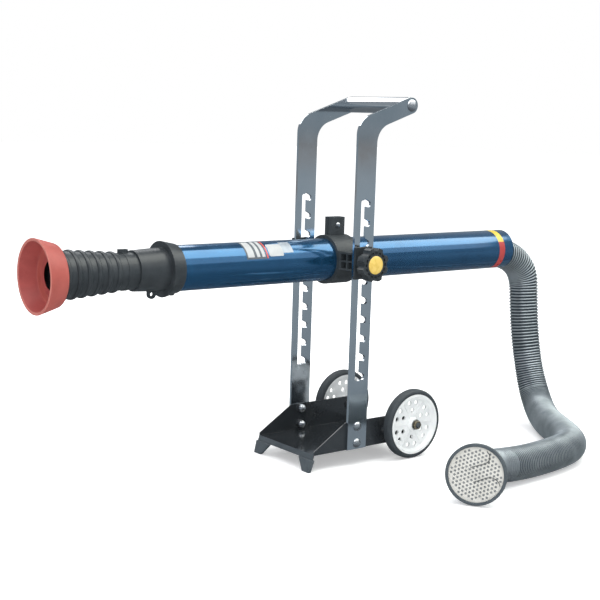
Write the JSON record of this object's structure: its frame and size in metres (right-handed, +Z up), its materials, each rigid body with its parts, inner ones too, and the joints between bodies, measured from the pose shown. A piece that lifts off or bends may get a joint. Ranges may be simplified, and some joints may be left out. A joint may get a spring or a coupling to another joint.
{
  "type": "fume extractor",
  "caption": "Mobile exhaust fume extractor: a fan tube with a flared rubber nozzle, clamped at a set height on a two-wheeled trolley, and a ribbed outlet hose with a grille cap.",
  "frame": {"origin": "on the floor, midway between the nozzle's mouth and the tube's outlet, in the middle of the width", "axes": "+X along the fan tube to its outlet, +Y to the right side, +Z up"},
  "size_m": [1.7631, 0.8214, 1.025],
  "materials": {
    "tray": "gloss",
    "foot": "satin",
    "bar": "polished",
    "handle": "polished",
    "fitting": "satin",
    "fixing": "polished",
    "axle": "satin",
    "hose": "satin",
    "cuff": "satin",
    "cap_rim": "satin",
    "grille": "satin",
    "clamp": "satin",
    "tube": "gloss",
    "gland": "satin",
    "collar": "satin",
    "sleeve": "satin",
    "cone": "satin",
    "motor": "satin",
    "winding": "matt",
    "impeller": "satin",
    "wheel": "satin",
    "tyre": "satin",
    "bush": "satin",
    "plate": "satin",
    "knob": "satin",
    "knob_cap": "gloss"
  },
  "bodies": {
    "trolley": {"base_tray": "tray", "left_foot_cap": "foot", "right_foot_cap": "foot", "left_upright": "bar", "right_upright": "bar", "handle_tube": "handle", "handle_plugs": "fitting", "handle_bolts": "fixing", "frame_bolts": "fixing", "frame_nuts": "fixing", "stub_axles": "axle", "axle_spacers": "axle", "axle_washers": "axle", "axle_nuts": "axle", "outlet_hose": "hose", "hose_cuff": "cuff", "cap_rim": "cap_rim", "cap_grille": "grille"},
    "left_wheel": {"left_wheel_disc": "wheel", "left_tyre": "tyre", "left_wheel_bush": "bush"},
    "right_wheel": {"right_wheel_disc": "wheel", "right_tyre": "tyre", "right_wheel_bush": "bush"},
    "carriage": {"left_slot_bush": "bush", "right_slot_bush": "bush", "left_pressure_plate": "plate", "right_pressure_plate": "plate"},
    "tube_unit": {"left_stud": "axle", "right_stud": "axle", "tube_clamp": "clamp", "clamp_bolt": "fixing", "clamp_nut": "fixing", "fan_tube": "tube", "cable_gland": "gland", "inlet_collar": "collar", "collar_eyelet": "collar", "inlet_sleeve": "sleeve", "sleeve_clip": "fixing", "nozzle_cone": "cone", "motor_housing": "motor", "motor_cover": "motor", "stator": "winding", "front_bearing": "axle", "rear_bearing": "axle", "front_spider": "motor", "rear_spider": "motor", "outlet_ring": "collar", "hose_elbow": "hose"},
    "left_knob": {"left_knob": "knob", "left_knob_cap": "knob_cap"},
    "fan": {"fan_shaft": "axle", "rotor_core": "winding", "impeller": "impeller", "impeller_nut": "fixing"}
  },
  "joints": [
    {"name": "left_wheel_spin", "type": "hinge", "parent": "trolley", "child": "left_wheel", "pos_m": [0.302, -0.155, 0.1], "axis": [0, 1, 0], "continuous": true},
    {"name": "right_wheel_spin", "type": "hinge", "parent": "trolley", "child": "right_wheel", "pos_m": [0.302, 0.155, 0.1], "axis": [0, 1, 0], "continuous": true},
    {"name": "tube_height", "type": "slide", "parent": "trolley", "child": "carriage", "axis": [0, 0, 1], "range_m": [-0.3204, 0.1602], "deforming": ["outlet_hose"]},
    {"name": "tube_tilt", "type": "hinge", "parent": "carriage", "child": "tube_unit", "pos_m": [0.108, 0, 0.5718], "axis": [0, 1, 0], "range_deg": [-8, 8], "deforming": ["hose_elbow"]},
    {"name": "left_knob_turn", "type": "hinge", "parent": "tube_unit", "child": "left_knob", "pos_m": [0.108, -0.17, 0.5718], "axis": [0, 1, 0], "range_deg": [-180, 180]},
    {"name": "fan_spin", "type": "hinge", "parent": "tube_unit", "child": "fan", "pos_m": [0.35, 0, 0.5683], "axis": [1, 0, 0], "continuous": true}
  ]
}
